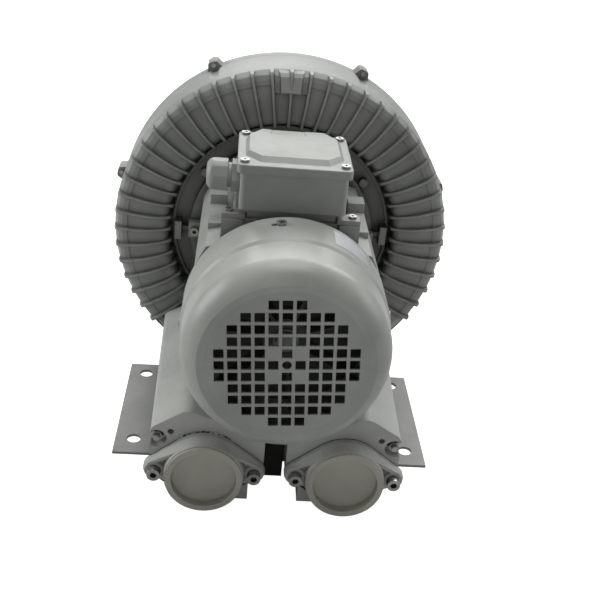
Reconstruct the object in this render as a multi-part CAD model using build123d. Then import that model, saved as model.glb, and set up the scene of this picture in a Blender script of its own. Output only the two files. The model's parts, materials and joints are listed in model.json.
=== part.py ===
from build123d import *
import math
import os

# Side channel blower. X is to the right and Y away, seen from the fan end of the motor; Z is up.
# The origin is the centre of the four foot holes, on the underside of the foot plate.
# Every length is in millimetres and every angle in degrees.

# Shaft and blower casing
shaft_height = 190
ring_radius = 188.5
impeller_y = 128
split_y = 148
gasket_thick = 0.5
channel_radius = 24
channel_centre_radius = 152
channel_face_offset = 21
wall = 6
fin_count = 56
fin_crest_width = 2.3
fin_root_width = 5.8
first_fin = -5
last_fin = 34
casing_turn = 0.7
band_front_y = 88
band_rear_y = 162
lug_spacing_angle = 360 / 7
lug_centre_angle = 91
lug_tip_radius = 197
lug_bolt_circle = 192.6
lug_front_y = 142
lug_rear_y = 163
groove_end_y = 106.5

# Impeller
impeller_radius = 174
impeller_clearance = 1
blade_count = 40
blade_thick = 2.4

# Motor
frame_near_y = -100
frame_far_y = 88
frame_bore = 72
frame_core_radius = 79
frame_fin_radius = 92
frame_fin_pitch = 10.9
frame_fin_thick = 3
air_gap = 0.5
rotor_radius = 44.5
stack_near_y = -52
stack_far_y = 40

# Cowl
cowl_near_y = -205
cowl_far_y = -101.8
cowl_radius = 98.6
cowl_sheet = 2
cowl_turn = 3.7
grille_pitch = 12
grille_hole = 9
cowl_screw_y = -118.3
cowl_screw_angle = 96

# Terminal box
box_half_width = 50.5
box_near_y = -88.3
box_far_y = 7
box_floor_z = 287
box_rim_z = 324.5
lid_half_width = 54
lid_near_y = -90
lid_far_y = 9.5
lid_rim_height = 7.5
lid_crown = 4
lid_screw_x = 47
lid_screw_near_y = -79.5
lid_screw_far_y = 1.5
gland_y = -42
gland_z = 304
gland_nut_radius = 15.7

# Foot plate
plate_half_width = 169
plate_near_y = -91
plate_far_y = 86
plate_thick = 3
foot_hole_x = 149
foot_hole_y = 66
foot_hole_radius = 7.5

# Silencers and ports
body_near_y = -159
body_far_y = 70
body_half_width_near = 122.5
body_half_width_far = 129
duct_x = 69
duct_z = 42
duct_radius = 34
port_bore = 33
neck_radius = 38
neck_end_y = -179
flange_back_y = -160
flange_face_y = -169.5
flange_screw_offset = 48.6
cap_rim_radius = 37.4
cap_recess_radius = 31.6
cap_front_y = -181.6
tie_x = 116.5
tie_z = 73

shaft_axis = Axis((0, 0, shaft_height), (0, 1, 0))


def front(y):
    """Plane that faces the fan end at y, its own axes along X and Z."""
    return Plane(origin=(0, y, 0), x_dir=(1, 0, 0), z_dir=(0, -1, 0))


def prism(outline, near_y, far_y):
    """Solid with an (x, z) outline between two y values."""
    return extrude(front(far_y) * outline, amount=far_y - near_y)


def polygon(*points):
    return make_face(Polyline(*points, close=True))


def bounded(*curves):
    """Face bounded by lines and arcs that meet end to end."""
    return make_face([edge for curve in curves for edge in curve.edges()])


def disc(radius, x=0, z=shaft_height):
    return Pos(x, z) * Circle(radius)


def rod(radius, near_y, far_y, x=0, z=shaft_height):
    return prism(disc(radius, x, z), near_y, far_y)


def tube(outer, inner, near_y, far_y, x=0, z=shaft_height):
    return prism(disc(outer, x, z) - disc(inner, x, z), near_y, far_y)


def block(x_low, x_high, near_y, far_y, z_low, z_high):
    return Pos(x_low, near_y, z_low) * Box(
        x_high - x_low, far_y - near_y, z_high - z_low, align=(Align.MIN, Align.MIN, Align.MIN)
    )


def turned(outline):
    """Solid turned about the shaft from an outline of (radius, y) points."""
    return revolve(Plane.XY.offset(shaft_height) * outline, axis=shaft_axis)


def turn(angle):
    """Placement turned about the shaft, counter-clockwise seen from the fan end."""
    return Pos(0, 0, shaft_height) * Rot(0, -angle, 0) * Pos(0, 0, -shaft_height)


def on_circle(angle, radius):
    """The (x, z) point on a circle about the shaft."""
    return (
        radius * math.cos(math.radians(angle)),
        shaft_height + radius * math.sin(math.radians(angle)),
    )


def rounded(face, corners, radius):
    """The face with the named corners rounded."""
    chosen = [
        vertex
        for vertex in face.vertices()
        if any(abs(vertex.X - x) + abs(vertex.Y - y) < 0.01 for x, y in corners)
    ]
    return fillet(chosen, radius)


def mirrored(solid):
    return mirror(solid, about=Plane.YZ)


def both_sides(solid):
    return solid + mirrored(solid)


def hexagon_prism(across_flats, near_y, far_y, x, z):
    outline = Pos(x, z) * RegularPolygon(across_flats / 2, 6, major_radius=False)
    return prism(outline, near_y, far_y)


def socket_screw(diameter, seat_y, tip_y, x, z):
    """Cap screw with a hexagon socket; its head stands on seat_y and faces the fan end."""
    head_radius = diameter * 0.8125
    head = rod(head_radius, seat_y - diameter, seat_y, x, z)
    shank = rod(diameter / 2, seat_y, tip_y, x, z)
    socket = hexagon_prism(diameter * 0.75, seat_y - diameter, seat_y - diameter / 2, x, z)
    return head + shank - socket


def lug_angles():
    """Six of seven equal places round the rim; the lowest place is left free above the foot plate."""
    return [lug_centre_angle + lug_spacing_angle * step for step in (-2.5, -1.5, -0.5, 0.5, 1.5, 2.5)]


def fin_angle(number):
    return casing_turn + number * 360 / fin_count


# ---------------------------------------------------------------- blower casing


def channel_arc(face_y, towards):
    """Half circle of the side channel on the casing face at face_y."""
    return CenterArc((channel_centre_radius, face_y), channel_radius, 0, 180 * towards)


def casing_half(towards, band_y, hub):
    """Turned half casing; towards is -1 on the motor side and 1 on the cover side."""
    split = split_y if towards < 0 else split_y + gasket_thick
    face_y = impeller_y + towards * channel_face_offset
    crown_y = face_y + towards * (channel_radius + wall)
    outer_corner = CenterArc((171, crown_y - towards * 16), 16, towards * 18, towards * 72)
    inner_corner = CenterArc((140, crown_y - towards * 12), 12, towards * 90, towards * 90)
    crown = ThreePointArc(outer_corner @ 1, (156, crown_y + towards * 1.5), inner_corner @ 0)
    pocket_radius = channel_centre_radius + channel_radius
    channel = channel_arc(face_y, towards)
    rim = Polyline((pocket_radius, face_y), (pocket_radius, split), (ring_radius, split),
                   (ring_radius, band_y), outer_corner @ 0)
    web = Polyline(inner_corner @ 1, *hub, (channel_centre_radius - channel_radius, face_y))
    return turned(bounded(rim, outer_corner, crown, inner_corner, web, channel))


def fin(towards, shoulder):
    """Radial cooling fin on the +X side, with a curved crest and drafted flanks.

    The shoulder gives the (radius, height) points where the rim end of the crest starts to round,
    is half round and meets the crest; heights are counted from the crown of the ring.
    """
    crown_y = impeller_y + towards * (channel_face_offset + channel_radius + wall)

    def at(radius, height):
        return (radius, crown_y + towards * height)

    start, middle, end = [at(*point) for point in shoulder]
    outline = bounded(
        Polyline(at(shoulder[0][0], -22), start),
        ThreePointArc(start, middle, end),
        ThreePointArc(end, at(156, 6.5), at(129, -1.5)),
        ThreePointArc(at(129, -1.5), at(126, -4), at(125, -9)),
        Polyline(at(125, -9), at(125, -24), at(127, -26), at(129.5, -17), at(135.5, -9),
                 at(143, -4.3), at(152, -2.8), at(161, -4.3), at(170.5, -9), at(179, -20),
                 at(181, -22), at(shoulder[0][0], -22)),
    )
    plate = extrude(Plane.XY.offset(shaft_height) * outline, amount=4, both=True)
    crest = crown_y + towards * 8
    root = crown_y - towards * 28
    draft = polygon(
        (-fin_crest_width / 2, crest), (fin_crest_width / 2, crest),
        (fin_root_width / 2, root), (-fin_root_width / 2, root),
    )
    side = Plane(origin=(192, 0, shaft_height), x_dir=(0, 0, 1), z_dir=(-1, 0, 0))
    return plate & extrude(side * draft, amount=72)


def lug(near_y, far_y):
    """Bolting lug on the +X side of the rim."""
    z = shaft_height
    outline = polygon((184, z - 7.6), (lug_tip_radius, z - 3.2), (lug_tip_radius, z + 3.2), (184, z + 7.6))
    return prism(outline, near_y, far_y)


def spanner_groove():
    """Shallow round-ended groove in the rim, in front of a lug on the +X side."""
    radius = 6.6
    end_y = groove_end_y + 5.2
    groove = rod(radius, end_y, lug_front_y, lug_bolt_circle, shaft_height)
    return groove + Pos(lug_bolt_circle, end_y, shaft_height) * Sphere(radius)


def silencer_section(half_width):
    """Outline of the right silencer body: arched shoulder, slope under the motor, cut lower corner."""
    outline = polygon(
        (11, 78.5), (88, 107), (half_width, 85), (half_width, plate_thick),
        (25, plate_thick), (25, 22), (11, 34),
    )
    outline = rounded(outline, [(88, 107)], 16)
    return rounded(outline, [(half_width, 85)], 9)


def silencer_pad():
    """Face on the motor side of the casing that the right silencer is bolted to."""
    pad = prism(silencer_section(body_half_width_far), body_far_y, 99.5)
    return pad - tube(320, 129, 82, 101)


def top_boss():
    """Cast boss that fills the rim end of the two gaps beside the top fin, proud in its middle."""
    side = Plane(origin=(0, 0, shaft_height), x_dir=(0, 1, 0), z_dir=(1, 0, 0))
    base = polygon((92, 187), (88, 187), (78.5, 183), (76, 178), (74.5, 165.5), (77, 163), (92, 163))
    proud = polygon((90, 186.6), (86, 186.6), (76.8, 182), (74, 177), (72.6, 167), (75, 164), (90, 164))
    wide = extrude(side * base, amount=18, both=True)
    return wide + extrude(side * proud, amount=9, both=True)


def web_rib():
    """Radial rib on the recessed web, with the block at the inside of the ring, on the +X side."""
    z = shaft_height
    rib = block(98, 120, 91, 100, z + 1, z + 6)
    pad = block(113.5, 121, 84, 100, z - 7, z + 15)
    return rib + pad


def blower_housing():
    """Motor side casing: half of the side channel, cooling fins, web and bearing seat."""
    hub = [
        (128, 99), (124, 99), (124, 95), (121, 95), (121, 99), (104, 99), (104, 88),
        (40, 88), (40, 68), (31, 68), (31, 89), (22, 89), (22, 101), (17, 101), (17, 107),
    ]
    casing = casing_half(-1, band_front_y, hub)
    one_fin = fin(-1, [(188.2, -5), (187.3, -2.2), (184.8, -0.6)])
    fins = [turn(fin_angle(number)) * one_fin for number in range(first_fin, last_fin + 1)]
    lugs = [turn(angle) * lug(lug_front_y, split_y) for angle in lug_angles()]
    groove = spanner_groove()
    grooves = [turn(angle) * groove for angle in lug_angles()]
    ribs = [turn(angle) * web_rib() for angle in (0, 180)]
    boss = [Pos(*point_on_web(angle)) * Cylinder(5, 10, rotation=(90, 0, 0)) for angle in (36, 144)]
    pads = [silencer_pad(), mirrored(silencer_pad())]
    casing = casing + (fins + lugs + ribs + boss + pads + [turn(casing_turn) * top_boss()])
    interrupter = turned(bounded(channel_arc(107, -1), Line((128, 107), (176, 107))))
    sector = prism(polygon((0, shaft_height), (-75, -20), (75, -20)), 80, 110)
    casing = casing + (interrupter & sector)
    holes = grooves + [rod(2.5, lug_front_y - 1, split_y + 1, *on_circle(angle, lug_bolt_circle))
                       for angle in lug_angles()]
    holes += [rod(3, 75, 96, *on_circle(angle, 98)) for angle in (0, 90, 180, 270)]
    holes += [rod(22, 60, 96, side * duct_x, 50) for side in (-1, 1)]
    holes += [rod(3, 60, 80, side * tie_x, tie_z) for side in (-1, 1)]
    return casing - holes


def point_on_web(angle):
    x, z = on_circle(angle, 110)
    return x, 96, z


def front_cover():
    """Far side casing: the other half of the side channel, closed by a domed centre."""
    hub = [
        (128, 158), (100, 158), (46, 162), (46, 176), (40, 179), (0, 179),
        (0, 173), (38, 173), (38, 156), (90, 149),
    ]
    casing = casing_half(1, band_rear_y, hub)
    one_fin = fin(1, [(187, -14), (185.6, -6.5), (180.5, -0.2)])
    fins = [turn(fin_angle(number)) * one_fin for number in range(fin_count)]
    rib = block(40, 127, 154, 167, shaft_height - 3, shaft_height + 3)
    ribs = [turn(45 * step) * rib for step in range(8)]
    lugs = [turn(angle) * lug(split_y + gasket_thick, lug_rear_y) for angle in lug_angles()]
    interrupter = turned(bounded(channel_arc(149, 1), Line((128, 149), (176, 149))))
    sector = prism(polygon((0, shaft_height), (-75, -20), (75, -20)), 148, 174)
    casing = casing + (fins + ribs + lugs + [interrupter & sector])
    return casing - [rod(2.8, split_y, lug_rear_y + 1, *on_circle(angle, lug_bolt_circle))
                     for angle in lug_angles()]


def casing_gasket():
    return tube(187.5, 177, split_y, split_y + gasket_thick)


def casing_bolts():
    """One hexagon bolt in each pair of lugs, with its threaded end just past the front lug."""
    bolts = []
    for angle in lug_angles():
        x, z = on_circle(angle, lug_bolt_circle)
        head = hexagon_prism(8, lug_rear_y, lug_rear_y + 3.5, x, z)
        bolts.append(head + rod(2.5, lug_front_y - 1, lug_rear_y, x, z))
    return Compound(children=bolts)


# ---------------------------------------------------------------- rotor


def impeller():
    """Disc with a bucket groove on both faces of its rim and straight blades across each groove."""
    half = channel_face_offset - impeller_clearance
    near_y = impeller_y - half
    far_y = impeller_y + half
    profile = polygon(
        (14, near_y), (30, near_y), (34, 122), (100, 124), (126, 124), (131, near_y + 1),
        (impeller_radius, near_y), (impeller_radius, far_y), (131, far_y - 1), (126, 132),
        (100, 132), (34, 134), (30, far_y), (14, far_y),
    )
    groove = polygon((134, near_y - 5), (134, near_y), (141, 125), (163, 125), (170.5, near_y),
                     (170.5, near_y - 5))
    disc_body = turned(profile)
    near_groove = turned(groove)
    far_groove = mirror(near_groove, about=front(impeller_y))
    blade = block(133, 171.5, near_y, 126, shaft_height - blade_thick / 2, shaft_height + blade_thick / 2)
    near_blades = [turn(360 / blade_count * step) * blade for step in range(blade_count)]
    far_blades = [mirror(one, about=front(impeller_y)) for one in near_blades]
    holes = [rod(8, 115, 140, *on_circle(45 + 90 * step, 72)) for step in range(4)]
    keyway = block(-4, 4, near_y - 1, far_y + 1, shaft_height + 10, shaft_height + 17)
    return disc_body - near_groove - far_groove + (near_blades + far_blades) - holes - keyway


def motor_shaft():
    steps = [
        (9, -162), (9, -118.5), (12.5, -118.5), (12.5, -102), (19, -102), (19, 72.5),
        (15, 72.5), (15, 108), (14, 108), (14, 148), (10, 148), (10, 169),
    ]
    shaft = turned(polygon((0, -162), *steps, (0, 169)))
    return shaft - block(-4, 4, 112, 142, shaft_height + 10, shaft_height + 17)


def impeller_key():
    return block(-4, 4, 113, 141, shaft_height + 10, shaft_height + 16.8)


def impeller_washer():
    return tube(22, 10, 148, 151.5)


def impeller_nut():
    return hexagon_prism(30, 151.5, 164, 0, shaft_height) - rod(10, 150, 166)


def rotor_core():
    return tube(rotor_radius, 19, stack_near_y, stack_far_y) + [
        tube(rotor_radius - 4, 30, stack_near_y - 12, stack_near_y),
        tube(rotor_radius - 4, 30, stack_far_y, stack_far_y + 12),
    ]


def cooling_fan():
    """Radial fan with straight blades on a back plate."""
    hub = tube(22, 9, -158, -130)
    plate = tube(82, 20, -133, -130)
    blade = block(20, 84, -162, -132, shaft_height - 1.5, shaft_height + 1.5)
    trim = turned(polygon((18, -200), (100, -200), (100, -150), (84, -150), (60, -159), (18, -159)))
    blades = [turn(20 + 360 / 7 * step) * blade for step in range(7)]
    return hub + plate + blades - trim


def fan_clip():
    return tube(12, 9, -159.6, -158.2)


def bearing_outer(outer, near_y, far_y, bore):
    """Outer ring of a sealed bearing, with a shield at each face that stops short of the inner ring."""
    lip = bore + 3.9
    race = outer - 3
    return turned(polygon(
        (outer, near_y), (outer, far_y), (lip, far_y), (lip, far_y - 1), (race, far_y - 1),
        (race, near_y + 1), (lip, near_y + 1), (lip, near_y),
    ))


def bearing_inner(bore, near_y, far_y):
    return tube(bore + 3.4, bore, near_y, far_y)


def shaft_seal():
    return turned(polygon((22, 91), (22, 99), (15.05, 96), (15.05, 94.5), (20, 93), (20, 91)))


# ---------------------------------------------------------------- motor


def fins_across(reach, z_sign):
    """Upright fins along the top or bottom of the frame."""
    fins = []
    for step in range(-5, 6):
        x = step * frame_fin_pitch
        height = min(math.sqrt(reach**2 - x**2), 87)
        low, high = sorted((60 * z_sign, height * z_sign))
        half = frame_fin_thick / 2
        fins.append(block(x - half, x + half, frame_near_y, frame_far_y - 12,
                          shaft_height + low, shaft_height + high))
    return fins


def side_fins():
    """Level fins along the right side of the frame."""
    fins = []
    for step in range(-3, 4):
        z = step * frame_fin_pitch
        reach = math.sqrt(frame_fin_radius**2 - z**2)
        half = frame_fin_thick / 2
        fins.append(block(65, reach, frame_near_y, frame_far_y - 12,
                          shaft_height + z - half, shaft_height + z + half))
    return fins


def corner_rail():
    """Plain cast panel along the upper right corner of the frame."""
    z = shaft_height
    rail = polygon((46, z + 60), (66, z + 66), (79, z + 62.4), (89, z + 42), (60, z + 42))
    return prism(rail, frame_near_y, frame_far_y - 8)


def box_steps():
    """Stepped pads beside the terminal box, on the right."""
    z = shaft_height
    low = block(62, 79, -58, -8, z + 55, z + 69)
    high = block(62, 79, -8, 12, z + 55, z + 79)
    lug_pad = block(46, 66, -86, -66, z + 60, z + 86)
    return low + high + lug_pad


def motor_frame():
    """Finned cast frame around the stator, with a flange against the blower casing."""
    barrel = tube(frame_core_radius, frame_bore, frame_near_y, frame_far_y)
    flange = tube(93, frame_bore, frame_far_y - 10, frame_far_y)
    ears = [turn(90 * step) * block(80, 105, frame_far_y - 10, frame_far_y,
                                    shaft_height - 9, shaft_height + 9) for step in range(4)]
    rail = corner_rail()
    lower_rail = mirror(rail, about=Plane.XY.offset(shaft_height))
    seat = block(-44, 44, -84, 6, shaft_height + 70, shaft_height + 87)
    posts = [rod(5, -84, -74, x, shaft_height + 82) for x in (-40, 40)]
    right = [rail, lower_rail, box_steps()] + side_fins()
    left = [mirrored(piece) for piece in right]
    fins = fins_across(frame_fin_radius, 1) + fins_across(frame_fin_radius, -1)
    frame = barrel + ([flange, seat] + ears + right + left + fins + posts)
    holes = [rod(3.3, 70, 90, *on_circle(90 * step, 98)) for step in range(4)]
    holes += [rod(2.5, frame_near_y - 1, frame_near_y + 18, *on_circle(angle, 84))
              for angle in (40, 140, 220, 320)]
    wire_way = block(-12, 12, -40, -16, shaft_height + 60, shaft_height + 90)
    for x, y, seat in box_screw_places():
        holes.append(Pos(x, y, seat - 8) * Cylinder(2, 30))
    return frame - holes - wire_way - rod(frame_bore, frame_near_y - 1, frame_far_y + 1)


def frame_screws():
    """Socket screws that hold the motor frame to the blower casing."""
    screws = [socket_screw(6, frame_far_y - 10, 95, *on_circle(90 * step, 98)) for step in range(4)]
    return Compound(children=screws)


def stator_core():
    return tube(frame_bore, rotor_radius + air_gap, stack_near_y, stack_far_y)


def stator_windings():
    """End turns of the winding, one bundle on each side of the core."""
    near = polygon((48, stack_near_y), (50, stack_near_y - 22), (64, stack_near_y - 24),
                   (67, stack_near_y))
    far = polygon((48, stack_far_y), (50, stack_far_y + 22), (64, stack_far_y + 24), (67, stack_far_y))
    return Compound(children=[turned(near), turned(far)])


def end_shield():
    """Fan side bearing cover, with four arms that carry the cowl."""
    profile = polygon(
        (frame_bore, frame_near_y + 5), (frame_bore - 5, frame_near_y + 5),
        (frame_bore - 5, frame_near_y - 2), (30, frame_near_y - 2), (30, frame_near_y + 2),
        (20, frame_near_y + 2), (20, -102), (26, -102), (26, -120), (32, -120), (34, -108),
        (91, -108), (91, frame_near_y), (frame_bore, frame_near_y),
    )
    arms = [turn(cowl_screw_angle + 90 * step) * block(80, 95.5, -125, -106, shaft_height - 8,
                                                      shaft_height + 8) for step in range(4)]
    shield = turned(profile) + arms
    holes = [rod(2.8, -110, -98, *on_circle(angle, 84)) for angle in (40, 140, 220, 320)]
    holes += [turn(cowl_screw_angle + 90 * step) * radial_rod(2, 84, 97) for step in range(4)]
    return shield - holes


def radial_rod(radius, inner, outer):
    """Cylinder along +X at the height of the shaft and the row of the cowl screws."""
    return Pos((inner + outer) / 2, cowl_screw_y, shaft_height) * Cylinder(
        radius, outer - inner, rotation=(0, 90, 0)
    )


def shield_screws():
    screws = [socket_screw(5, -108, -86, *on_circle(angle, 84)) for angle in (40, 140, 220, 320)]
    return Compound(children=screws)


def wave_washer():
    return tube(25.5, 21, -103.2, -102)


def cowl_profile():
    """Sheet metal outline of the fan cowl: dished end, rounded shoulder, band, step and skirt."""
    t = cowl_sheet
    near = cowl_near_y
    outer = [(0, near + 2.4), (73, near + 2.4), (79.8, near)]
    skirt = [(95.6, near + 22), (96.6, -151.6), (cowl_radius, -147.4), (cowl_radius, cowl_far_y)]
    inner_skirt = [(cowl_radius - t, cowl_far_y), (cowl_radius - t, -146.8), (96.6 - t, -151),
                   (95.6 - t, near + 22.6)]
    inner = [(79.4, near + t), (73.4, near + 2.4 + t), (0, near + 2.4 + t)]
    return bounded(
        Polyline(*outer),
        ThreePointArc(outer[-1], (90.4, near + 9), skirt[0]),
        Polyline(*skirt, *inner_skirt),
        ThreePointArc(inner_skirt[-1], (88.6, near + 10.2), inner[0]),
        Polyline(*inner, outer[0]),
    )


def grille_cells():
    """Positions of the square holes: a disc of a square grid, less the four next to the middle."""
    cells = []
    for column in range(-5, 6):
        for row in range(-5, 6):
            middle = abs(column) <= 1 and abs(row) <= 1 and abs(column) == abs(row)
            if column**2 + row**2 <= 26 and not middle:
                cells.append((column * grille_pitch, shaft_height + row * grille_pitch))
    return cells


def fan_cowl():
    """Pressed cowl with the square-hole grille, turned a little on the motor."""
    shell = turned(cowl_profile())
    hole = Rectangle(grille_hole, grille_hole)
    openings = Sketch() + [Pos(x, z) * hole for x, z in grille_cells()]
    grille = prism(openings, cowl_near_y - 5, cowl_near_y + 10)
    centre = rod(4.2, cowl_near_y - 5, cowl_near_y + 10)
    slots = [turn(cowl_screw_angle + 90 * step) * cowl_slot() for step in range(4)]
    return shell - (turn(cowl_turn) * (grille + centre)) - slots


def cowl_slot():
    """Short keyhole slot for one cowl screw."""
    slot = radial_rod(2.6, 92, 102)
    side = turn(4) * radial_rod(2.6, 92, 102)
    return slot + side + turn(2) * radial_rod(2.6, 92, 102)


def cowl_screws():
    """Pan head screws, with a cross recess, that hold the cowl to the end shield."""
    screw = radial_rod(2, 86, cowl_radius)
    head = radial_rod(4.6, cowl_radius, cowl_radius + 2.6)
    arm = Pos(cowl_radius + 2.6, cowl_screw_y, shaft_height) * Box(2.4, 5, 1)
    cross = arm + Pos(cowl_radius + 2.6, cowl_screw_y, shaft_height) * Box(2.4, 1, 5)
    whole = screw + head - cross
    screws = [turn(cowl_screw_angle + 90 * step) * whole for step in range(4)]
    return Compound(children=screws)


# ---------------------------------------------------------------- terminal box


def box_outline(half_width, near_y, far_y, corner):
    plan = Pos(0, (near_y + far_y) / 2) * RectangleRounded(2 * half_width, far_y - near_y, corner)
    return plan


def box_base():
    """Open topped terminal box with a plinth, two screw lugs and a cable entry on the left."""
    walls = extrude(Plane.XY.offset(box_floor_z) * box_outline(box_half_width, box_near_y, box_far_y, 5),
                    amount=box_rim_z - box_floor_z)
    cavity = extrude(
        Plane.XY.offset(box_floor_z + 3)
        * box_outline(box_half_width - 3, box_near_y + 3, box_far_y - 3, 3),
        amount=box_rim_z,
    )
    plinth = block(-42, 42, -80, 2, shaft_height + 87, box_floor_z)
    ear = block(44, 66, -84, -68, shaft_height + 86, shaft_height + 91)
    posts = [block(x, x + 7, y, y + 7, box_floor_z, box_rim_z)
             for x in (-lid_screw_x - 3, lid_screw_x - 4)
             for y in (lid_screw_near_y - 3.5, lid_screw_far_y - 4.5)]
    holes = [Pos(x, y, seat) * Cylinder(2.2, 40) for x, y, seat in box_screw_places()]
    holes += [Pos(x, y, box_rim_z) * Cylinder(1.5, 30) for x, y in lid_screw_places()]
    entry = Pos(-box_half_width, gland_y, gland_z) * Cylinder(10, 20, rotation=(0, 90, 0))
    wire_way = block(-12, 12, -40, -16, shaft_height + 80, box_floor_z + 5)
    return walls - cavity + posts + plinth + both_sides(ear) - holes - entry - wire_way


def lid_screw_places():
    return [(x, y) for x in (-lid_screw_x, lid_screw_x) for y in (lid_screw_near_y, lid_screw_far_y)]


def box_gasket():
    outer = box_outline(box_half_width - 0.4, box_near_y + 0.4, box_far_y - 0.4, 4.6)
    inner = box_outline(box_half_width - 2.8, box_near_y + 2.8, box_far_y - 2.8, 3)
    ring = extrude(Plane.XY.offset(box_rim_z) * (outer - inner), amount=1)
    return ring - [Pos(x, y, box_rim_z) * Cylinder(2, 4) for x, y in lid_screw_places()]


def box_lid():
    """Lid with a raised middle that runs to its back edge, cut back at the corners for its screws."""
    seat = box_rim_z + 1
    top = box_rim_z + lid_rim_height
    plan = box_outline(lid_half_width, lid_near_y, lid_far_y, 6)
    rim = extrude(Plane.XY.offset(seat) * plan, amount=top - seat)
    rim = fillet(rim.edges().group_by(Axis.Z)[-1], 1.2)
    skirt = plan - box_outline(box_half_width + 0.4, box_near_y - 0.4, box_far_y + 0.4, 5)
    lip = extrude(Plane.XY.offset(seat - 2) * skirt, amount=2)
    foot = Plane.XY.offset(top - 0.4) * crown_outline(47, -79.5, lid_far_y, (14, 17))
    crest = Plane.XY.offset(top + lid_crown) * crown_outline(43.2, -72, lid_far_y - 1, (12, 14))
    raised = loft([foot, crest], ruled=True)
    hollow = extrude(Plane.XY.offset(seat) * crown_outline(40, -66, -4, (10, 12)), amount=5)
    window = Pos(-5, lid_far_y - 8, top + lid_crown) * Box(34, 17, 1)
    holes = [Pos(x, y, top) * Cylinder(2, 30) for x, y in lid_screw_places()]
    return rim + lip + raised - hollow - window - holes


def crown_outline(half_width, near_y, far_y, cut):
    """Eight-cornered outline; the cuts at the far corners are deeper than those at the near ones."""
    across, along = cut
    return polygon(
        (-half_width + across, near_y), (half_width - across, near_y), (half_width, near_y + along),
        (half_width, far_y - 1.4 * along), (half_width - across, far_y), (-half_width + across, far_y),
        (-half_width, far_y - 1.4 * along), (-half_width, near_y + along),
    )


def screw_down(x, y, seat_z, tip_z, radius, head_radius):
    """Pan head screw that points down, with a cross recess."""
    shank = Pos(x, y, (seat_z + tip_z) / 2) * Cylinder(radius, seat_z - tip_z)
    head = Pos(x, y, seat_z + 1.2) * Cylinder(head_radius, 2.4)
    cross = Pos(x, y, seat_z + 2.4) * Box(head_radius, 1, 2)
    return shank + head - cross - Pos(x, y, seat_z + 2.4) * Box(1, head_radius, 2)


def lid_screws():
    top = box_rim_z + lid_rim_height
    return Compound(children=[screw_down(x, y, top, box_rim_z - 12, 1.5, 4.4)
                              for x, y in lid_screw_places()])


def box_screw_places():
    """Two screws in the outer lugs of the terminal box and two inside it, each with its seat height."""
    outer = [(side * 59, -76, shaft_height + 91) for side in (-1, 1)]
    inner = [(side * 32, -4, box_floor_z + 3) for side in (-1, 1)]
    return outer + inner


def box_screws():
    return Compound(children=[screw_down(x, y, seat, seat - 18, 2, 4)
                              for x, y, seat in box_screw_places()])


def terminal_board():
    board = block(-24, 24, -64, -6, box_floor_z + 3, box_floor_z + 11)
    barriers = [block(x - 1, x + 1, -60, -10, box_floor_z + 11, box_floor_z + 17) for x in (-8, 8)]
    return board + barriers


def terminal_studs():
    """Six brass studs with their nuts."""
    studs = []
    for x in (-16, 0, 16):
        for y in (-48, -22):
            post = Pos(x, y, box_floor_z + 17) * Cylinder(2.5, 12)
            nut = extrude(Plane.XY.offset(box_floor_z + 12) * Pos(x, y) * RegularPolygon(4, 6, major_radius=False),
                          amount=4)
            studs.append(post + nut)
    return Compound(children=studs)


def along_x(outline_radius, x_low, x_high):
    return Pos((x_low + x_high) / 2, gland_y, gland_z) * Cylinder(
        outline_radius, x_high - x_low, rotation=(0, 90, 0)
    )


def gland_hexagon(across_flats, x_low, x_high):
    plane = Plane(origin=(x_high, gland_y, gland_z), x_dir=(0, 1, 0), z_dir=(-1, 0, 0))
    return extrude(plane * RegularPolygon(across_flats / 2, 6, major_radius=False), amount=x_high - x_low)


def gland_body():
    """Hexagon collar and threaded sleeve of the cable gland."""
    collar = gland_hexagon(28, -box_half_width - 8, -box_half_width)
    sleeve = along_x(9.9, -box_half_width - 20, -box_half_width + 8)
    neck = along_x(12, -box_half_width - 12, -box_half_width)
    return collar + sleeve + neck - along_x(7, -80, -40)


def gland_nut():
    """Dome nut with flats."""
    dome = along_x(gland_nut_radius, -83, -62.5)
    dome = fillet(dome.edges().group_by(Axis.X)[0], 8)
    flats = gland_hexagon(30, -84, -62)
    return (dome & flats) - along_x(9.95, -75, -60) - along_x(6, -90, -60)


def gland_seal():
    return along_x(5.9, -82, -71) - along_x(4, -90, -60)


# ---------------------------------------------------------------- foot, silencers and ports


def foot_plate():
    plate = block(-plate_half_width, plate_half_width, plate_near_y, plate_far_y, 0, plate_thick)
    holes = [Pos(x, y, 0) * Cylinder(foot_hole_radius, 20)
             for x in (-foot_hole_x, foot_hole_x) for y in (-foot_hole_y, foot_hole_y)]
    seats = [Pos(x, y, 0) * Cone(6, 3, 3, align=(Align.CENTER, Align.CENTER, Align.MIN))
             for x, y in foot_screw_places()]
    return plate - holes - seats


def foot_screw_places():
    return [(side * 112, y) for side in (-1, 1) for y in (-60, 50)]


def foot_screws():
    """Countersunk screws up through the foot plate into the silencer bodies."""
    screws = []
    for x, y in foot_screw_places():
        head = Pos(x, y, 0) * Cone(6, 3, 3, align=(Align.CENTER, Align.CENTER, Align.MIN))
        screws.append(head + Pos(x, y, 9) * Cylinder(3, 12))
    return Compound(children=screws)


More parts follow.
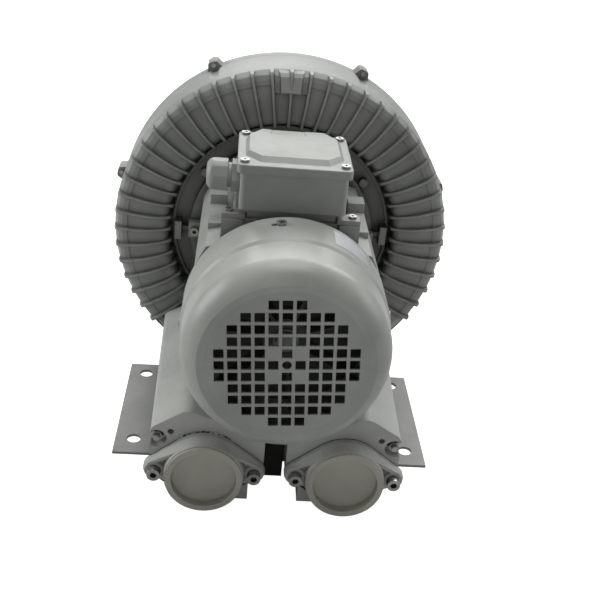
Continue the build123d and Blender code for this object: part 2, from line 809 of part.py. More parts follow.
def silencer_body():
    """Right silencer casting: a long box with a round duct through it."""
    near = front(body_near_y) * silencer_section(body_half_width_near)
    far = front(body_far_y) * silencer_section(body_half_width_far)
    body = loft([near, far], ruled=True)
    duct = rod(duct_radius, body_near_y - 1, body_far_y - 25, duct_x, duct_z)
    mouth = rod(22, body_far_y - 26, body_far_y + 1, duct_x, 50)
    pocket = rod(9.5, body_near_y - 1, body_near_y + 10, tie_x, tie_z)
    stud_way = rod(3.2, body_near_y - 1, body_far_y + 1, tie_x, tie_z)
    peg_hole = rod(3, body_near_y - 1, body_near_y + 14, 103, 81.5)
    screw_holes = [rod(4, body_near_y - 1, body_near_y + 22, duct_x + side * flange_screw_offset, duct_z)
                   for side in (-1, 1)]
    foot_holes = [Pos(112, y, 9) * Cylinder(3, 14) for y in (-60, 50)]
    return body - [duct, mouth, pocket, stud_way, peg_hole] - screw_holes - foot_holes


def absorber():
    return tube(duct_radius - 0.5, 22, body_near_y + 12, body_far_y - 30, duct_x, duct_z)


def duct_pad():
    """Dark rubber block that fills the gap between the two silencer bodies."""
    return block(-10.6, 10.6, -120, 60, plate_thick, 76)


def flange_outline(reach):
    ears = [Pos(side * flange_screw_offset, 0) * Circle(11) for side in (-1, 1)]
    edges = Circle(reach).edges() + ears[0].edges() + ears[1].edges()
    return Pos(duct_x, duct_z) * make_hull(edges)


def flange_gasket():
    holes = [disc(4.3, duct_x + side * flange_screw_offset, duct_z) for side in (-1, 1)]
    outline = flange_outline(41) - disc(port_bore, duct_x, duct_z)
    return prism(outline - holes[0] - holes[1], flange_back_y, body_near_y)


def port_flange():
    """Right port: an oval two-bolt flange with a short neck and sloping ribs out to its ears."""
    plate = prism(flange_outline(41), flange_face_y, flange_back_y)
    roof = polygon((duct_x - 38, neck_end_y + 2), (duct_x + 38, neck_end_y + 2),
                   (duct_x + 58, flange_face_y), (duct_x - 58, flange_face_y))
    slope = prism(flange_outline(41), neck_end_y + 2, flange_face_y) & extrude(roof, amount=100)
    seats = [rod(8.2, neck_end_y, flange_face_y, duct_x + side * flange_screw_offset, duct_z)
             for side in (-1, 1)]
    neck = rod(neck_radius, neck_end_y, flange_back_y, duct_x, duct_z)
    holes = [rod(4.2, neck_end_y, -150, duct_x + side * flange_screw_offset, duct_z) for side in (-1, 1)]
    return plate + (slope - seats) + neck - holes - rod(port_bore, neck_end_y - 1, -150, duct_x, duct_z)


def flange_screws():
    screws = [socket_screw(8, flange_face_y, body_near_y + 20, centre + side * flange_screw_offset, duct_z)
              for centre in (-duct_x, duct_x) for side in (-1, 1)]
    return Compound(children=screws)


def port_cap():
    """Push-in plastic cap with a wide rim and a cup shaped recess."""
    rim = rod(cap_rim_radius, cap_front_y, neck_end_y, duct_x, duct_z)
    plug = rod(port_bore - 0.3, neck_end_y, neck_end_y + 9, duct_x, duct_z)
    recess = rod(cap_recess_radius, cap_front_y - 1, cap_front_y + 8, duct_x, duct_z)
    return rim + plug - recess


def tie_studs():
    studs = [rod(3, body_near_y - 1, body_far_y + 9, side * tie_x, tie_z) for side in (-1, 1)]
    return Compound(children=studs)


def tie_nuts():
    nuts = []
    for side in (-1, 1):
        washer = tube(6.2, 3, body_near_y + 8.6, body_near_y + 10, side * tie_x, tie_z)
        nut = hexagon_prism(10, body_near_y + 3.6, body_near_y + 8.6, side * tie_x, tie_z)
        nuts.append(washer + (nut - rod(3, -170, -140, side * tie_x, tie_z)))
    return Compound(children=nuts)


# ---------------------------------------------------------------- the assembly


def assembly():
    parts = {
        "blower_housing": blower_housing(),
        "front_cover": front_cover(),
        "casing_gasket": casing_gasket(),
        "casing_bolts": casing_bolts(),
        "impeller": impeller(),
        "motor_shaft": motor_shaft(),
        "impeller_key": impeller_key(),
        "impeller_washer": impeller_washer(),
        "impeller_nut": impeller_nut(),
        "rotor_core": rotor_core(),
        "cooling_fan": cooling_fan(),
        "fan_clip": fan_clip(),
        "drive_bearing_outer": bearing_outer(31, 73, 89, 15),
        "drive_bearing_inner": bearing_inner(15, 73, 89),
        "fan_bearing_outer": bearing_outer(26, -118, -103.2, 12.5),
        "fan_bearing_inner": bearing_inner(12.5, -118, -103.2),
        "shaft_seal": shaft_seal(),
        "wave_washer": wave_washer(),
        "motor_frame": motor_frame(),
        "frame_screws": frame_screws(),
        "stator_core": stator_core(),
        "stator_windings": stator_windings(),
        "end_shield": end_shield(),
        "shield_screws": shield_screws(),
        "fan_cowl": fan_cowl(),
        "cowl_screws": cowl_screws(),
        "box_base": box_base(),
        "box_gasket": box_gasket(),
        "box_lid": box_lid(),
        "lid_screws": lid_screws(),
        "box_screws": box_screws(),
        "terminal_board": terminal_board(),
        "terminal_studs": terminal_studs(),
        "gland_body": gland_body(),
        "gland_nut": gland_nut(),
        "gland_seal": gland_seal(),
        "foot_plate": foot_plate(),
        "foot_screws": foot_screws(),
        "duct_pad": duct_pad(),
        "flange_screws": flange_screws(),
        "tie_studs": tie_studs(),
        "tie_nuts": tie_nuts(),
    }
    handed = {
        "silencer_body": silencer_body(),
        "absorber": absorber(),
        "flange_gasket": flange_gasket(),
        "port_flange": port_flange(),
        "port_cap": port_cap(),
    }
    for name, solid in handed.items():
        parts[name + "_right"] = solid
        parts[name + "_left"] = mirrored(solid)
    return parts


os.makedirs("parts", exist_ok=True)
for name, solid in assembly().items():
    export_step(solid, f"parts/{name}.step")
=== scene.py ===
"""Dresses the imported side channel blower: finishes, small cast forms, label, light and camera."""

import json
import math

import bmesh
import bpy
from mathutils import Matrix, Vector


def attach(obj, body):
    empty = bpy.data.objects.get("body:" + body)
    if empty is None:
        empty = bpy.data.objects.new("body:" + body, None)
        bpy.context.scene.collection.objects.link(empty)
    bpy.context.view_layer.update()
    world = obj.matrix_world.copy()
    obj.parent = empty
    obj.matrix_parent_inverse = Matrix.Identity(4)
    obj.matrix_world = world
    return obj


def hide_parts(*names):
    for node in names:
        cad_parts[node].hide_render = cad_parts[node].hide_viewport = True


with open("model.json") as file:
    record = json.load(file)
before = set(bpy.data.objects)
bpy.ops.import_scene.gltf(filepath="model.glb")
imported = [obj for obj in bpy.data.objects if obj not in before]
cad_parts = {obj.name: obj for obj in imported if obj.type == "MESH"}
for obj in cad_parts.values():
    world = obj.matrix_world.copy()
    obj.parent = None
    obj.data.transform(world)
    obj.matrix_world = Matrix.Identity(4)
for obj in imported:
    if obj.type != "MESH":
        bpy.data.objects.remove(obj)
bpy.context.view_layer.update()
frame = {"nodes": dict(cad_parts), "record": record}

# Camera, in metres and degrees
camera_place = Vector((-0.0521, -0.9104, 0.6265))
camera_azimuth = -4.683
camera_elevation = 27.576
camera_roll = 5.497
camera_lens = 56.72

# Sizes of the blower, in metres and degrees
shaft_height = 0.190

# Blank label on the skirt of the cowl
cowl_skirt_radius = 0.0986
label_sink = 0.0002
label_stand_off = 0.00025
label_near_y = -0.138
label_far_y = -0.108
label_from_angle = 44
label_to_angle = 67
label_steps = 16

# Lugs on the rim of the casing, the corners as (radius, sideways)
casing_split_y = 0.148
casing_joint_gap = 0.0005
lug_front_y = 0.1416
lug_rear_y = 0.1634
lug_step_angle = 360 / 7
lug_middle_angle = 91
lug_steps = (-2.5, -1.5, -0.5, 0.5, 1.5, 2.5)
lug_corners = [(0.1850, -0.0098), (0.1956, -0.0056), (0.1965, -0.0048),
               (0.1965, 0.0048), (0.1956, 0.0056), (0.1850, 0.0098)]

# Rim end of the cooling fins and the land between them, as (radius, y)
fin_step_angle = 360 / 56
first_fin = -5
last_fin = 34
casing_turn = 0.7
land_profile = [(0.1885, 0.0884), (0.1882, 0.0872), (0.1850, 0.0810), (0.1842, 0.0799),
                (0.1795, 0.0776), (0.1740, 0.0767), (0.1720, 0.0785), (0.1800, 0.0830),
                (0.1850, 0.0900), (0.1870, 0.0900)]
land_overrun = 0.3
land_steps = 160
fin_outline = [(0.1884, 0.0900), (0.1884, 0.0800), (0.1877, 0.0768), (0.1850, 0.0744),
               (0.1760, 0.0722), (0.1700, 0.0716), (0.1700, 0.0800), (0.1800, 0.0840)]
fin_crest_y = 0.0716
fin_crest_half_width = 0.0012
fin_draft = 0.09
panel_outline = [(0.1882, 0.0890), (0.1856, 0.0805), (0.1822, 0.0762), (0.1770, 0.0732),
                 (0.1668, 0.0708), (0.1650, 0.0722), (0.1650, 0.0800), (0.1800, 0.0890)]
panel_face_y = 0.0708
panel_half_width = 0.0105
panel_draft = 0.25

# Port flanges
port_x = 0.069
port_z = 0.042
ear_offset = 0.0486
ear_radius = 0.011
flange_back_y = -0.160
flange_plate_y = -0.166
flange_face_y = -0.1695
flange_radius = 0.041
under_radius = 0.026
flange_chamfer = 0.0008
neck_root_y = -0.165
neck_middle = (0.0398, -0.1690)
neck_front_y = -0.179
neck_front_radius = 0.0386
neck_chamfer = 0.0006
bore_radius = 0.033
boss_root_radius = 0.0104
boss_face_radius = 0.0098
boss_chamfer = 0.0006
boss_hole_radius = 0.0043
rib_thick = 0.0034
rib_sink = 0.0004
rib_top_sink = 0.0003
rib_drop = 0.002

# Sealant along the top of the left flange
sealant_from_angle = 48
sealant_sweep = 84
sealant_steps = 90
sealant_sides = 8
sealant_offset_y = 0.0004
sealant_least_radius = 0.0004
sealant_swell_radius = 0.0010
sealant_wander = 0.0003

# Silencer castings
silencer_front_y = -0.159
corner_cut_width = 0.038
corner_cut_height = 0.033
corner_cut_depth = 0.070
weld_distance = 1e-6
sharp_angle = 30


# ---------------------------------------------------------------- materials


class Shader:
    """A node material built one node at a time."""

    def __init__(self, name):
        self.material = bpy.data.materials.new(name)
        self.material.use_nodes = True
        self.nodes = self.material.node_tree.nodes
        self.links = self.material.node_tree.links
        self.surface = self.nodes["Principled BSDF"]
        self.object_space = self.add("ShaderNodeTexCoord").outputs["Object"]

    def add(self, kind, **settings):
        node = self.nodes.new(kind)
        for key, value in settings.items():
            setattr(node, key, value)
        return node

    def link(self, source, target):
        self.links.new(source, target)

    def noise(self, scale, detail=3.0, roughness=0.5, stretch=None):
        texture = self.add("ShaderNodeTexNoise")
        texture.inputs["Scale"].default_value = scale
        texture.inputs["Detail"].default_value = detail
        texture.inputs["Roughness"].default_value = roughness
        source = self.object_space
        if stretch:
            mapping = self.add("ShaderNodeMapping")
            mapping.inputs["Scale"].default_value = stretch
            self.link(source, mapping.inputs["Vector"])
            source = mapping.outputs["Vector"]
        self.link(source, texture.inputs["Vector"])
        return texture.outputs["Fac"]

    def ramp(self, source, low, high, low_value, high_value):
        """Maps a range of the source to a range of values, or of colours."""
        ramp = self.add("ShaderNodeValToRGB")
        ramp.color_ramp.elements[0].position = low
        ramp.color_ramp.elements[1].position = high
        ramp.color_ramp.elements[0].color = colour_of(low_value)
        ramp.color_ramp.elements[1].color = colour_of(high_value)
        self.link(source, ramp.inputs["Fac"])
        return ramp.outputs["Color"]

    def mix(self, factor, first, second, blend="MIX"):
        mix = self.add("ShaderNodeMix", data_type="RGBA", blend_type=blend)
        factor_socket, first_socket, second_socket = mix.inputs[0], mix.inputs[6], mix.inputs[7]
        values = ((factor, factor_socket), (first, first_socket), (second, second_socket))
        for value, socket in values:
            if isinstance(value, bpy.types.NodeSocket):
                self.link(value, socket)
            elif socket == factor_socket:
                socket.default_value = value
            else:
                socket.default_value = colour_of(value)
        return mix.outputs[2]

    def bump(self, height, strength, distance, normal=None):
        bump = self.add("ShaderNodeBump")
        bump.inputs["Strength"].default_value = strength
        bump.inputs["Distance"].default_value = distance
        self.link(height, bump.inputs["Height"])
        if normal:
            self.link(normal, bump.inputs["Normal"])
        return bump.outputs["Normal"]

    def soft_edges(self, radius):
        bevel = self.add("ShaderNodeBevel", samples=4)
        bevel.inputs["Radius"].default_value = radius
        return bevel.outputs["Normal"]


def colour_of(value):
    if isinstance(value, (int, float)):
        return (value, value, value, 1)
    return (*value, 1)


def painted(name, colour, grain=0.5, edge=0.0007, rough=(0.38, 0.52), hollow_shade=0.12, grain_scale=900,
            reach=0.012, shade_tone=0.42):
    """Sprayed paint over metal: fine texture, uneven tone, and painted shade that darkens the
    hollows.
    """
    s = Shader(name)
    darker = [c * 0.86 for c in colour]
    lighter = [min(1, c * 1.08) for c in colour]
    tone = s.ramp(s.noise(14, 5, 0.6), 0.35, 0.68, darker, lighter)
    specks = s.ramp(s.noise(420, 2, 0.5), 0.62, 0.72, 0, 1)
    tone = s.mix(s.mix(1, specks, 0.10, "MULTIPLY"), tone, [c * 0.55 for c in colour])
    # Painted shade: ambient occlusion darkens hollows, creases and recesses towards a darker copy
    # of the paint, standing in for the shade that falls there.
    hollow = s.add("ShaderNodeAmbientOcclusion", samples=4)
    hollow.inputs["Distance"].default_value = reach
    painted_shade = s.ramp(hollow.outputs["AO"], 0.25, 0.85, 1, 0)
    painted_shade = s.mix(1, painted_shade, hollow_shade * 3, "MULTIPLY")
    s.link(s.mix(painted_shade, tone, [c * shade_tone for c in colour]), s.surface.inputs["Base Color"])
    sheen = s.ramp(s.noise(60, 4, 0.6), 0.3, 0.75, *rough)
    s.link(sheen, s.surface.inputs["Roughness"])
    s.surface.inputs["Specular IOR Level"].default_value = 0.45
    normal = s.bump(s.noise(grain_scale, 3, 0.6), grain * 0.25, 0.0003, s.soft_edges(edge))
    s.link(s.bump(s.noise(55, 2, 0.5), grain * 0.3, 0.0012, normal), s.surface.inputs["Normal"])
    return s.material


def plastic(name, colour, rough=0.5, edge=0.0006):
    """Moulded plastic with a faint grain."""
    s = Shader(name)
    darker = [c * 0.9 for c in colour]
    lighter = [min(1, c * 1.06) for c in colour]
    tone = s.ramp(s.noise(25, 4, 0.6), 0.3, 0.7, darker, lighter)
    s.link(tone, s.surface.inputs["Base Color"])
    sheen = s.ramp(s.noise(90, 3, 0.5), 0.3, 0.7, rough - 0.08, rough + 0.08)
    s.link(sheen, s.surface.inputs["Roughness"])
    normal = s.bump(s.noise(1300, 2, 0.5), 0.1, 0.0003, s.soft_edges(edge))
    s.link(normal, s.surface.inputs["Normal"])
    return s.material


def metal(name, colour, rough=0.32, stretch=(1, 1, 1), streak=0.15, edge=0.0003):
    """Plated or turned metal with fine streaks, a duller, uneven tone, and painted shade in its
    hollows such as screw sockets.
    """
    s = Shader(name)
    s.surface.inputs["Metallic"].default_value = 1
    tone = s.ramp(s.noise(70, 4, 0.65), 0.3, 0.75, [c * 0.62 for c in colour], colour)
    # Painted shade: ambient occlusion darkens the metal in sockets and other small hollows,
    # standing in for the shade inside them.
    hollow = s.add("ShaderNodeAmbientOcclusion", samples=4)
    hollow.inputs["Distance"].default_value = 0.006
    metal_cavity_shade = s.ramp(hollow.outputs["AO"], 0.35, 0.8, 0.08, 1)
    s.link(s.mix(1, tone, metal_cavity_shade, "MULTIPLY"), s.surface.inputs["Base Color"])
    streaks = s.noise(260, 3, 0.6, stretch)
    s.link(s.ramp(streaks, 0.3, 0.75, rough - 0.1, rough + 0.16), s.surface.inputs["Roughness"])
    s.link(s.bump(streaks, streak, 0.0003, s.soft_edges(edge)), s.surface.inputs["Normal"])
    return s.material


def rubber(name, colour, rough=0.8):
    """Dull, uneven finish of rubber, fibre or foam."""
    s = Shader(name)
    darker = [c * 0.7 for c in colour]
    lighter = [c * 1.4 for c in colour]
    tone = s.ramp(s.noise(40, 5, 0.6), 0.35, 0.7, darker, lighter)
    s.link(tone, s.surface.inputs["Base Color"])
    s.surface.inputs["Roughness"].default_value = rough
    s.link(s.bump(s.noise(700, 4, 0.6), 0.3, 0.0005), s.surface.inputs["Normal"])
    return s.material


def label_foil():
    s = Shader("label_foil")
    s.surface.inputs["Metallic"].default_value = 0.3
    s.link(s.ramp(s.noise(120, 3, 0.6), 0.3, 0.7, (0.55, 0.57, 0.58), (0.68, 0.70, 0.71)),
           s.surface.inputs["Base Color"])
    s.surface.inputs["Roughness"].default_value = 0.35
    return s.material


def sealant():
    s = Shader("sealant")
    s.link(s.ramp(s.noise(330, 3, 0.6), 0.46, 0.60, (0.03, 0.03, 0.028), (0.55, 0.55, 0.52)),
           s.surface.inputs["Base Color"])
    s.surface.inputs["Roughness"].default_value = 0.45
    s.link(s.bump(s.noise(900, 3, 0.6), 0.3, 0.0006), s.surface.inputs["Normal"])
    return s.material


# Every paint below darkens its hollows with painted shade; the casing's is the strongest.
finishes = {
    # Casing paint: the one grey paint made darker, as painted shade on the casing, with strong
    # painted shade in its fin valleys and in the recessed web inside the ring.
    "casing_paint": painted("casing_paint", (0.37, 0.38, 0.36), grain=1.0, edge=0.0012, hollow_shade=0.33,
                            rough=(0.34, 0.5), grain_scale=650, reach=0.055, shade_tone=0.12),
    "frame_paint": painted("frame_paint", (0.38, 0.39, 0.365), grain=1.0, edge=0.0010, hollow_shade=0.2,
                           grain_scale=650),
    "silencer_paint": painted("silencer_paint", (0.49, 0.50, 0.475), grain=0.9, edge=0.0014),
    "cowl_paint": painted("cowl_paint", (0.43, 0.445, 0.415), grain=0.35, edge=0.0006, hollow_shade=0.08,
                          rough=(0.30, 0.42)),
    "box_paint": painted("box_paint", (0.36, 0.37, 0.345), grain=0.6, edge=0.0010, hollow_shade=0.1,
                         rough=(0.34, 0.48)),
    "plate_paint": painted("plate_paint", (0.30, 0.305, 0.29), grain=0.5, edge=0.0004, hollow_shade=0.08),
    "cap_plastic": plastic("cap_plastic", (0.50, 0.49, 0.43), 0.48, 0.0008),
    "gland_plastic": plastic("gland_plastic", (0.36, 0.37, 0.355), 0.45, 0.0010),
    "fan_plastic": plastic("fan_plastic", (0.085, 0.088, 0.074), 0.5),
    "board_plastic": plastic("board_plastic", (0.05, 0.05, 0.05), 0.5),
    # Near-black rubber: on the pad between the silencer ducts it stands in for the deep shade of
    # the gap between them, a dark part put where the shade falls.
    "black_rubber": rubber("black_rubber", (0.010, 0.010, 0.010)),
    "gasket_fibre": rubber("gasket_fibre", (0.05, 0.05, 0.048), 0.9),
    "absorber_foam": rubber("absorber_foam", (0.05, 0.05, 0.05), 0.95),
    "zinc_steel": metal("zinc_steel", (0.56, 0.56, 0.54), 0.36),
    "bright_steel": metal("bright_steel", (0.34, 0.34, 0.33), 0.38, (1, 0.05, 1)),
    "lamination_steel": metal("lamination_steel", (0.35, 0.35, 0.36), 0.45, (0.05, 8, 0.05), 0.5),
    "bare_aluminium": metal("bare_aluminium", (0.66, 0.66, 0.67), 0.42),
    "copper": metal("copper", (0.62, 0.28, 0.15), 0.35, (1, 0.1, 1), 0.5),
    "brass": metal("brass", (0.70, 0.55, 0.27), 0.3),
}

for entry in frame["record"]["subparts"]:
    node = frame["nodes"][entry["node"]]
    node.data.materials.clear()
    node.data.materials.append(finishes[entry["material_slot"]])


# ---------------------------------------------------------------- detail pieces


def piece_from(name, mesh, finish):
    """Puts a mesh in the scene as a piece that stays with the blower's fixed body."""
    obj = bpy.data.objects.new(name, mesh)
    bpy.context.scene.collection.objects.link(obj)
    obj.data.materials.append(finish)
    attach(obj, "blower")
    return obj


class Shell:
    """A mesh in the making, of closed solids that are rings of points joined by faces."""

    def __init__(self):
        self.bm = bmesh.new()

    def ring(self, points):
        return [self.bm.verts.new(point) for point in points]

    def join(self, first, second):
        count = len(first)
        for k in range(count):
            m = (k + 1) % count
            self.bm.faces.new((first[k], first[m], second[m], second[k]))

    def solid(self, rings):
        """Adds a solid through a list of rings, with faces over its two end rings."""
        rings = [self.ring(points) for points in rings]
        for first, second in zip(rings, rings[1:]):
            self.join(first, second)
        self.bm.faces.new(rings[0])
        self.bm.faces.new(rings[-1])

    def hollow(self, rings):
        """Adds a solid with a hole right through it: the last ring joins the first."""
        rings = [self.ring(points) for points in rings]
        for first, second in zip(rings, rings[1:] + rings[:1]):
            self.join(first, second)

    def finish(self, name, finish):
        mesh = bpy.data.meshes.new(name)
        bmesh.ops.recalc_face_normals(self.bm, faces=self.bm.faces)
        self.bm.to_mesh(mesh)
        self.bm.free()
        return piece_from(name, mesh, finish)


def around_shaft(angle, radius, y, side=0.0):
    """Point about the shaft: degrees from +X, radius, y, and an offset sideways."""
    a = math.radians(angle)
    return (radius * math.cos(a) - side * math.sin(a), y,
            shaft_height + radius * math.sin(a) + side * math.cos(a))


def cowl_label():
    """Blank foil label that lies on the skirt of the cowl."""
    shell = Shell()
    inner_radius = cowl_skirt_radius - label_sink
    outer_radius = cowl_skirt_radius + label_stand_off
    rings = []
    for step in range(label_steps + 1):
        angle = label_from_angle + (label_to_angle - label_from_angle) * step / label_steps
        rings.append([around_shaft(angle, radius, y) for radius, y in (
            (inner_radius, label_near_y), (inner_radius, label_far_y),
            (outer_radius, label_far_y), (outer_radius, label_near_y))])
    shell.solid(rings)
    return shell.finish("cowl_label", label_foil())


def rim_lugs(name, near_y, far_y):
    """Trapezoid lugs round the rim of one casing half, over the narrow ones of the casting."""
    shell = Shell()
    for step in lug_steps:
        angle = lug_middle_angle + lug_step_angle * step
        shell.solid([[around_shaft(angle, radius, y, side) for radius, side in lug_corners]
                     for y in (near_y, far_y)])
    return shell.finish(name, finishes["casing_paint"])


def valley_shoulder():
    """Sloping land between the rim band and the valleys, round the finned part of the casing."""
    start = casing_turn + (first_fin - land_overrun) * fin_step_angle
    end = casing_turn + (last_fin + land_overrun) * fin_step_angle
    angles = [start + (end - start) * step / land_steps for step in range(land_steps + 1)]
    shell = Shell()
    shell.solid([[around_shaft(angle, radius, y) for radius, y in land_profile]
                 for angle in angles])
    return shell.finish("valley_shoulder", finishes["casing_paint"])


def drafted_plate(shell, angle, outline, half_width, draft, crest_y):
    """Adds a plate that stands on the casing, its sides spreading from its crest to its foot."""
    shell.solid([[around_shaft(angle, radius, y, side * (half_width + draft * (y - crest_y)))
                  for radius, y in outline] for side in (-1, 1)])


def fin_corners():
    """Sharper rim end for each cooling fin, drafted like the fin."""
    shell = Shell()
    for number in range(first_fin, last_fin + 1):
        drafted_plate(shell, casing_turn + number * fin_step_angle, fin_outline,
                      fin_crest_half_width, fin_draft, fin_crest_y)
    return shell.finish("fin_corners", finishes["casing_paint"])


def boss_panel():
    """Raised panel over the fin at the top of the casing, with sloping sides."""
    shell = Shell()
    drafted_plate(shell, 90 + casing_turn, panel_outline,
                  panel_half_width, panel_draft, panel_face_y)
    return shell.finish("boss_panel", finishes["casing_paint"])


def port_circle(centre_x, radius, y, count=64):
    """Points of an upright circle at the height of the ports."""
    turns = [2 * math.pi * k / count for k in range(count)]
    return [(centre_x + radius * math.cos(t), y, port_z + radius * math.sin(t)) for t in turns]


tangent_angle = math.acos((flange_radius - ear_radius) / ear_offset)
under_angle = math.acos((under_radius - ear_radius) / ear_offset)
under_meet = under_angle - math.acos(under_radius / flange_radius)


def flange_outline():
    """Points of a circle with a round ear on each side, about the port.

    Above, straight tangents join the circle and the ears. Below, the ears run steeply into it.
    """
    def arc(centre, radius, start, end, count):
        turns = [start + (end - start) * k / count for k in range(count + 1)]
        return [Vector((centre + radius * math.cos(t), radius * math.sin(t))) for t in turns]

    t, u, m = tangent_angle, under_angle, under_meet
    return (arc(ear_offset, ear_radius, -u, t, 14) + arc(0, flange_radius, t, math.pi - t, 24)
            + arc(-ear_offset, ear_radius, math.pi - t, math.pi + u, 14)
            + arc(0, flange_radius, math.pi + m, 2 * math.pi - m, 36))


def port_flange(name, centre_x, node):
    """Flange with a thin plate, a drafted neck, a boss at each ear and a rib along each tangent."""
    def at(point, y):
        return (centre_x + point.x, y, port_z + point.y)

    shell = Shell()
    outline = flange_outline()
    bore = [point.normalized() * bore_radius for point in outline]
    inset = [point * (1 - flange_chamfer / point.length) for point in outline]
    plate = [(outline, flange_back_y), (outline, flange_plate_y + flange_chamfer),
             (inset, flange_plate_y), (bore, flange_plate_y), (bore, flange_back_y)]
    shell.hollow([[at(point, y) for point in points] for points, y in plate])
    neck = [(flange_radius, neck_root_y), neck_middle,
            (neck_front_radius, neck_front_y + neck_chamfer),
            (neck_front_radius - neck_chamfer, neck_front_y),
            (bore_radius, neck_front_y), (bore_radius, neck_root_y)]
    shell.hollow([port_circle(centre_x, radius, y) for radius, y in neck])
    boss = [(boss_root_radius, neck_root_y), (boss_face_radius, flange_face_y + boss_chamfer),
            (boss_face_radius - boss_chamfer, flange_face_y),
            (boss_hole_radius, flange_face_y), (boss_hole_radius, neck_root_y)]
    for side in (-1, 1):
        ear_x = centre_x + side * ear_offset
        shell.hollow([port_circle(ear_x, radius, y, 32) for radius, y in boss])
        normal = Vector((side * math.cos(tangent_angle), math.sin(tangent_angle)))
        inner = normal * rib_thick
        ear_end = Vector((side * ear_offset, 0)) + normal * (ear_radius - rib_sink)
        neck_end = normal * (flange_radius - rib_sink)
        neck_top = normal * (neck_front_radius - rib_top_sink)
        crest_y = neck_front_y + rib_drop
        foot = [ear_end, neck_end, neck_end - inner, ear_end - inner]
        crest = [(ear_end, flange_face_y), (neck_top, crest_y),
                 (neck_top - inner, crest_y), (ear_end - inner, flange_face_y)]
        shell.solid([[at(point, neck_root_y) for point in foot],
                     [at(point, y) for point, y in crest]])
    flange = shell.finish(name, finishes["silencer_paint"])
    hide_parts(node)
    return flange


def sealant_bead(centre_x):
    """Squeezed out bead of sealant along the top of a flange, uneven in width."""
    shell = Shell()
    rings = []
    for step in range(sealant_steps + 1):
        t = step / sealant_steps
        angle = math.radians(sealant_from_angle + sealant_sweep * t)
        swell = (0.55 + 0.25 * math.sin(37 * t + 1) + 0.22 * math.sin(83 * t)
                 + 0.12 * math.sin(151 * t + 2))
        taper = min(1, 9 * t, 9 * (1 - t))
        radius = sealant_least_radius + sealant_swell_radius * max(0.1, swell) * taper
        out = flange_radius + sealant_wander * math.sin(61 * t)
        centre = Vector((math.cos(angle), math.sin(angle))) * out
        ring = []
        for turn in (2 * math.pi * k / sealant_sides for k in range(sealant_sides)):
            point = centre * (1 + radius * math.cos(turn) / centre.length)
            ring.append((centre_x + point.x,
                         flange_back_y + sealant_offset_y + 0.9 * radius * math.sin(turn),
                         port_z + point.y))
        rings.append(ring)
    shell.solid(rings)
    bead = shell.finish("sealant_bead", sealant())
    for face in bead.data.polygons:
        face.use_smooth = True
    return bead


def silencer_casting(name, side, node):
    """The silencer body with its front lower outer corner cut away, ahead of the foot plate."""
    source = frame["nodes"][node]
    bm = bmesh.new()
    bm.from_mesh(source.data)
    bm.transform(source.matrix_world)
    bmesh.ops.remove_doubles(bm, verts=bm.verts, dist=weld_distance)
    front = [v.co for v in bm.verts if v.co.y < silencer_front_y + 0.0005]
    reach = max(abs(co.x) for co in front)
    floor_z = min(co.z for co in front)
    high = Vector((side * reach, silencer_front_y, floor_z + corner_cut_height))
    inner = Vector((side * (reach - corner_cut_width), silencer_front_y, floor_z))
    back = Vector((side * reach, silencer_front_y + corner_cut_depth, floor_z))
    normal = (inner - high).cross(back - high).normalized()
    if normal.z > 0:
        normal.negate()
    everything = bm.verts[:] + bm.edges[:] + bm.faces[:]
    cut = bmesh.ops.bisect_plane(bm, geom=everything, plane_co=high, plane_no=normal,
                                 clear_outer=True)
    edges = [e for e in cut["geom_cut"] if isinstance(e, bmesh.types.BMEdge)]
    bmesh.ops.edgenet_fill(bm, edges=edges)
    bmesh.ops.recalc_face_normals(bm, faces=bm.faces)
    for face in bm.faces:
        face.smooth = True
    for edge in bm.edges:
        edge.smooth = (len(edge.link_faces) == 2
                       and edge.calc_face_angle(0) < math.radians(sharp_angle))
    mesh = bpy.data.meshes.new(name)
    bm.to_mesh(mesh)
    bm.free()
    casting = piece_from(name, mesh, finishes["silencer_paint"])
    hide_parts(node)
    return casting


valley_shoulder()
fin_corners()
boss_panel()
rim_lugs("rim_lugs_front", lug_front_y, casing_split_y)
rim_lugs("rim_lugs_rear", casing_split_y + casing_joint_gap, lug_rear_y)
for label, side in (("left", -1), ("right", 1)):
    port_flange(f"flange_{label}", side * port_x, f"port_flange_{label}")
    silencer_casting(f"silencer_{label}", side, f"silencer_body_{label}")
sealant_bead(-port_x)
cowl_label()


# ---------------------------------------------------------------- floor, light and camera


world_strength = 0.03
floor_size = 6
floor_z = -0.0002
floor_tone = 0.55
light_aim = (0, 0, 0.18)
# Each soft box: place and size in metres, and power in watts
softboxes = {
    "back": ((0.4, 1.75, 1.7), (3.0, 1.2), 54),
    "top": ((0, 0.1, 2.3), (1.2, 1.2), 17),
    "left": ((-2.1, 0.2, 0.9), (1.2, 1.2), 24),
    "right": ((2.1, 0.2, 0.9), (1.2, 1.2), 11),
    "front": ((0, -2.3, 0.9), (1.2, 1.2), 7),
}


def make_world():
    """Faint even light, with plain white wherever the camera sees past the floor."""
    world = bpy.data.worlds.new("studio")
    world.use_nodes = True
    bpy.context.scene.world = world
    nodes, links = world.node_tree.nodes, world.node_tree.links
    light = nodes["Background"]
    light.inputs["Color"].default_value = (1, 1, 1, 1)
    light.inputs["Strength"].default_value = world_strength
    path = nodes.new("ShaderNodeLightPath")
    white = nodes.new("ShaderNodeBackground")
    white.inputs["Color"].default_value = (1, 1, 1, 1)
    white.inputs["Strength"].default_value = 1
    seen = nodes.new("ShaderNodeMath")
    seen.operation = "MAXIMUM"
    links.new(path.outputs["Is Camera Ray"], seen.inputs[0])
    links.new(path.outputs["Is Transmission Ray"], seen.inputs[1])
    mix = nodes.new("ShaderNodeMixShader")
    links.new(seen.outputs[0], mix.inputs[0])
    links.new(light.outputs[0], mix.inputs[1])
    links.new(white.outputs[0], mix.inputs[2])
    links.new(mix.outputs[0], nodes["World Output"].inputs["Surface"])


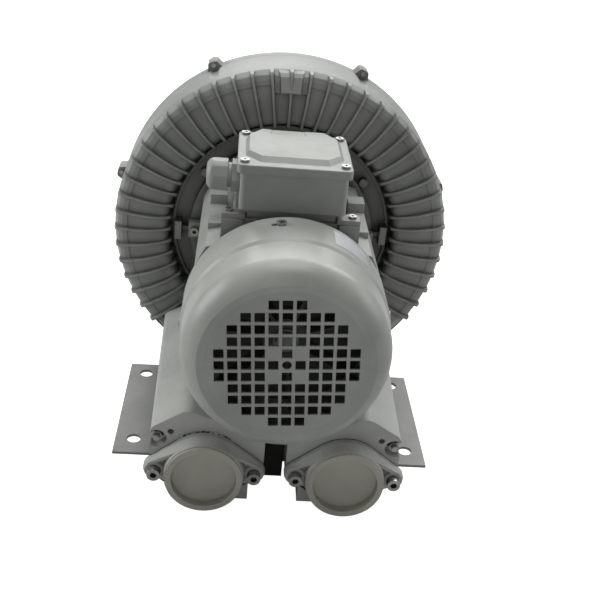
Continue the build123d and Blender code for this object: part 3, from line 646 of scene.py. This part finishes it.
def make_floor():
    """Pale floor that the camera sees as plain white."""
    mesh = bpy.data.meshes.new("floor")
    bm = bmesh.new()
    bmesh.ops.create_grid(bm, x_segments=1, y_segments=1, size=floor_size)
    bm.to_mesh(mesh)
    bm.free()
    floor = bpy.data.objects.new("floor", mesh)
    bpy.context.scene.collection.objects.link(floor)
    floor.location.z = floor_z
    material = bpy.data.materials.new("floor")
    material.use_nodes = True
    nodes, links = material.node_tree.nodes, material.node_tree.links
    surface = nodes["Principled BSDF"]
    surface.inputs["Base Color"].default_value = colour_of(floor_tone)
    surface.inputs["Roughness"].default_value = 0.9
    surface.inputs["Specular IOR Level"].default_value = 0.1
    path = nodes.new("ShaderNodeLightPath")
    glow = nodes.new("ShaderNodeEmission")
    glow.inputs["Color"].default_value = (1, 1, 1, 1)
    links.new(path.outputs["Is Camera Ray"], glow.inputs["Strength"])
    both = nodes.new("ShaderNodeAddShader")
    links.new(surface.outputs[0], both.inputs[0])
    links.new(glow.outputs[0], both.inputs[1])
    links.new(both.outputs[0], nodes["Material Output"].inputs["Surface"])
    mesh.materials.append(material)


def softbox(name, place, size, power):
    """Rectangular lamp that faces the blower."""
    lamp = bpy.data.lights.new(name, "AREA")
    lamp.shape = "RECTANGLE"
    lamp.size, lamp.size_y = size
    lamp.energy = power
    obj = bpy.data.objects.new(name, lamp)
    bpy.context.scene.collection.objects.link(obj)
    obj.location = place
    towards = Vector(light_aim) - Vector(place)
    obj.rotation_euler = towards.to_track_quat("-Z", "Y").to_euler()


def make_camera():
    """Camera from its place, the direction that it looks in, and its roll."""
    azimuth, elevation, roll = map(math.radians, (camera_azimuth, camera_elevation, camera_roll))
    back = Vector((math.sin(azimuth) * math.cos(elevation),
                   -math.cos(azimuth) * math.cos(elevation), math.sin(elevation)))
    level = (-back).cross(Vector((0, 0, 1))).normalized()
    upright = level.cross(-back)
    across = level * math.cos(roll) + upright * math.sin(roll)
    up = upright * math.cos(roll) - level * math.sin(roll)
    camera = bpy.data.objects.new("camera", bpy.data.cameras.new("camera"))
    bpy.context.scene.collection.objects.link(camera)
    camera.data.lens = camera_lens
    camera.data.sensor_width = 36
    camera.data.clip_start = 0.01
    turn = Matrix((across, up, back)).transposed().to_4x4()
    camera.matrix_world = Matrix.Translation(camera_place) @ turn
    bpy.context.scene.camera = camera


make_world()
make_floor()
for name, (place, size, power) in softboxes.items():
    softbox(name, place, size, power)
make_camera()
bpy.context.scene.view_settings.view_transform = "Standard"
